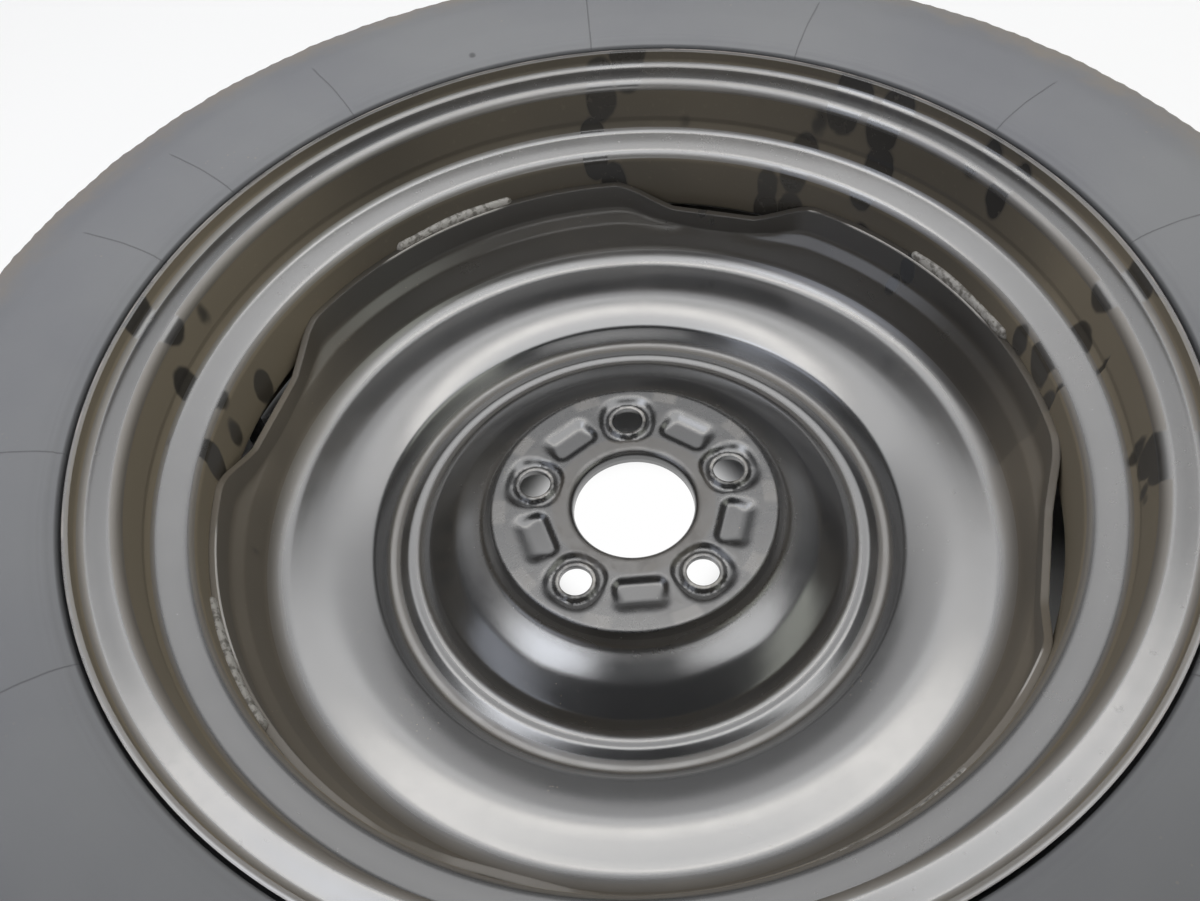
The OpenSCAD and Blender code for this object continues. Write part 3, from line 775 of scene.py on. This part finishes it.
def make_tyre():
    cavity = [
        (TYRE_R - CROWN, 0, 0), (TYRE_R - CROWN, TREAD_W / 2 - 8, 16),
        (TYRE_R - CROWN - 0.132 * SIDE_H, BULGE_W - WALL - 10, 14),
        (BULGE_R + 0.066 * SIDE_H, BULGE_W - WALL, 26), (BULGE_R - 0.198 * SIDE_H, BULGE_W - WALL - 4, 18),
        (SIDE_R, HALF_W - 6, 12), (SEAT_R + 7, HALF_W - 17, 6),
        (SEAT_R + 0.2, HALF_W - 19.5, 2), (SEAT_R - TAPER + 0.05, HALF_W - 18.5, 0),
    ]
    hc = rounded(cavity, 24, 40)
    shown, under = tyre_half(True), tyre_half(False)
    section = shown + [(r, -z) for r, z in under[:-1]][::-1] + [(r, -z) for r, z in hc[::-1][1:-1]] + hc[:-1]
    cols = 480
    g = revolve([(r, z + INSET) for r, z in section], cols)
    a = np.linspace(0, 2 * math.pi, cols, endpoint=False)
    r = np.hypot(g[:, :, 0], g[:, :, 1])
    zz = g[:, :, 2] - INSET
    shoulder = step(r, TYRE_R - 13, TYRE_R - 5) * step(np.abs(zz), TREAD_W / 2 - 3, TREAD_W / 2 + 3)
    teeth = (np.arange(cols)[None, :] % 2).astype(float)
    rng = np.random.default_rng(3)
    ragged = np.interp(a, np.linspace(0, 2 * math.pi, 241), np.append(rng.normal(0, 0.35, 240), 0.0))
    cut = shoulder * (0.55 * teeth + 0.5 + ragged[None, :])
    k = (r - np.clip(cut, 0.0, 2.0)) / r
    g[:, :, 0] *= k
    g[:, :, 1] *= k
    ob = new_object("tyre_body", g.reshape(-1, 3) * MM, grid_faces(len(section), cols), MATS["tyre_rubber"],
                    smooth=34)
    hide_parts("tyre")


def make_spring():
    """The pin's return spring as a round wire, set in the box of the CAD spring."""
    lo, hi = (np.array(v, float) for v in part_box("core_spring"))
    wire, turns, sides, steps = 0.15 * MM, 6, 10, 240
    coil = (hi[0] - lo[0]) / 2 - wire - 0.02 * MM
    cx, cy = (lo[:2] + hi[:2]) / 2
    t = np.linspace(0.0, 1.0, steps)
    a, zc = 2 * math.pi * turns * t, lo[2] + wire + (hi[2] - lo[2] - 2 * wire) * t
    b = 2 * math.pi * np.arange(sides) / sides
    rr = coil + wire * np.cos(b)[None, :]
    verts = np.stack([cx + rr * np.cos(a)[:, None], cy + rr * np.sin(a)[:, None],
                      zc[:, None] + wire * np.sin(b)[None, :]], 2).reshape(-1, 3)
    faces = []
    for p in range(0, (steps - 1) * sides, sides):
        q = p + sides
        faces += [(p + j, p + (j + 1) % sides, q + (j + 1) % sides, q + j) for j in range(sides)]
    faces += [tuple(range(sides)), tuple((steps - 1) * sides + j for j in reversed(range(sides)))]
    ob = new_object("return_spring", verts, faces, MATS["spring_steel"], smooth=40)
    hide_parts("core_spring")
    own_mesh(ob)


for make in (make_rim, make_disc, make_welds, make_tyre, make_spring):
    make()


# valve parts keep their CAD shapes
FINISH = {"valve_stem": "valve_rubber", "valve_insert": "brass", "core_barrel": "brass",
          "core_seal": "valve_rubber", "core_pin": "brass", "valve_cap": "cap_plastic",
          "cap_seal": "valve_rubber"}
for node, finish in FINISH.items():
    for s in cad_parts[node].material_slots:
        s.material = MATS[finish]


# floor, backdrop and lights
def make_stage():
    g = Nodes("floor_paper")
    lp = g.node("ShaderNodeLightPath")
    tone = g.noise(4, 2.0)
    colour = g.mix(tone, (0.86, 0.865, 0.87), (0.90, 0.90, 0.90))
    d = g.node("ShaderNodeBsdfDiffuse", {"Color": colour})
    e = g.node("ShaderNodeEmission", {"Color": (1, 1, 1), "Strength": 1.0})
    seen = g.top(*(lp.outputs[f"Is {kind} Ray"] for kind in ("Glossy", "Camera", "Transmission")))
    r, _, _ = g.polar()
    # painted light and shade on the floor: full white under the bore, and no white in a ring under the wheel,
    # which leaves that ring darker than the rest of the floor
    under = g.mul(g.band(r, 0.046, 0.074), g.band(r, 0.240, 0.262, 1.0, 0.0))
    share = g.mul(seen, g.add(g.band(r, 0.040, 0.070, 1.0, 0.60), g.mul(under, -0.60)))
    m = g.node("ShaderNodeMixShader", {0: share, 1: d.outputs[0], 2: e.outputs[0]})
    g.tree.links.new(m.outputs[0], g.out.inputs["Surface"])
    z, s = box_lo[2] - FLOOR_GAP, FLOOR_HALF
    me = bpy.data.meshes.new("floor")
    me.from_pydata([(-s, -s, z), (s, -s, z), (s, s, z), (-s, s, z)], [], [(0, 1, 2, 3)])
    me.materials.append(g.mat)
    put_in_scene("floor", me)


def area(name, at, aim, w, h, power, colour):
    d = bpy.data.lights.new(name, "AREA")
    d.shape = "RECTANGLE"
    d.size, d.size_y = w, h
    d.energy = power
    d.color = colour
    ob = put_in_scene(name, d)
    ob.location = at
    ob.rotation_mode = "QUATERNION"
    ob.rotation_quaternion = (Vector(aim) - Vector(at)).to_track_quat("-Z", "Y")


def make_flag():
    """A dark card over the near side, which keeps the top panel out of the bowl's near wall."""
    g = Nodes("flag_cloth")
    d = g.node("ShaderNodeBsdfDiffuse", {"Color": (0.12, 0.12, 0.12)})
    g.tree.links.new(d.outputs[0], g.out.inputs["Surface"])
    pts = [(-0.45, -0.85), (0.45, -0.85), (0.45, -0.21), (0.10, -0.19), (0.07, -0.12), (-0.13, -0.12),
           (-0.16, -0.18), (-0.45, -0.21)]
    me = bpy.data.meshes.new("flag")
    me.from_pydata([(x, y, FLAG_Z) for x, y in pts], [], [tuple(range(len(pts)))])
    me.materials.append(g.mat)
    ob = put_in_scene("flag", me)
    ob.visible_camera = False


def make_light():
    w = bpy.data.worlds.new("studio")
    bpy.context.scene.world = w
    w.use_nodes = True
    t = w.node_tree
    t.nodes.clear()
    out = t.nodes.new("ShaderNodeOutputWorld")
    lp = t.nodes.new("ShaderNodeLightPath")
    soft, white = t.nodes.new("ShaderNodeBackground"), t.nodes.new("ShaderNodeBackground")
    soft.inputs[0].default_value = (0.96, 0.98, 1.0, 1)
    soft.inputs[1].default_value = 0.11
    white.inputs[1].default_value = 1.0
    mix = t.nodes.new("ShaderNodeMixShader")
    co, split = t.nodes.new("ShaderNodeTexCoord"), t.nodes.new("ShaderNodeSeparateXYZ")
    low, gloss, share = [t.nodes.new("ShaderNodeMath") for _ in range(3)]
    low.operation, gloss.operation, share.operation = "LESS_THAN", "MAXIMUM", "MULTIPLY_ADD"
    share.use_clamp = True
    t.links.new(co.outputs["Generated"], split.inputs[0])
    t.links.new(split.outputs[2], low.inputs[0])
    low.inputs[1].default_value = 0.06
    t.links.new(lp.outputs["Is Glossy Ray"], gloss.inputs[0])
    t.links.new(lp.outputs["Is Transmission Ray"], gloss.inputs[1])
    t.links.new(low.outputs[0], share.inputs[0])
    t.links.new(gloss.outputs[0], share.inputs[1])
    t.links.new(lp.outputs["Is Camera Ray"], share.inputs[2])
    t.links.new(share.outputs[0], mix.inputs[0])
    t.links.new(soft.outputs[0], mix.inputs[1])
    t.links.new(white.outputs[0], mix.inputs[2])
    t.links.new(mix.outputs[0], out.inputs[0])
    aim = (0, 0, 0)
    area("top_panel", (0.0, -0.18, PANEL_Z), (0.0, -0.18, 0), 1.80, 1.25, 15.0, (0.985, 0.99, 1.0))
    area("top_strip", (0.0, 0.33, 1.24), (0.0, 0.33, 0), 1.50, 0.18, 1.5, (1.0, 0.93, 0.84))
    area("top_far", (0.0, 0.58, PANEL_Z), (0.0, 0.58, 0), 1.50, 0.30, 1.5, (1.0, 1.0, 1.0))
    area("left_key", (-0.56, -0.06, 1.24), (-0.56, -0.06, 0), 0.40, 0.40, 0.96, (0.80, 0.86, 1.0))
    area("far_panel", (0.0, 0.95, 1.30), aim, 2.6, 0.7, 5.6, (0.99, 0.99, 1.0))
    area("far_low", (0.0, 2.0, 1.0), aim, 4.0, 1.0, 3.0, (1.0, 1.0, 1.0))
    area("left_panel", (-1.5, -0.6, 1.0), aim, 1.4, 1.0, 4.5, (0.82, 0.87, 1.0))
    area("right_panel", (1.5, -0.6, 1.0), aim, 1.4, 1.0, 4.5, (0.97, 1.0, 0.89))
    area("near_panel", (0.0, -2.2, 0.7), aim, 2.4, 0.6, 6.9, (1.0, 1.0, 1.0))
    make_flag()


make_stage()
make_light()
view = bpy.context.scene.view_settings
view.view_transform = "Standard"
bpy.context.view_layer.update()
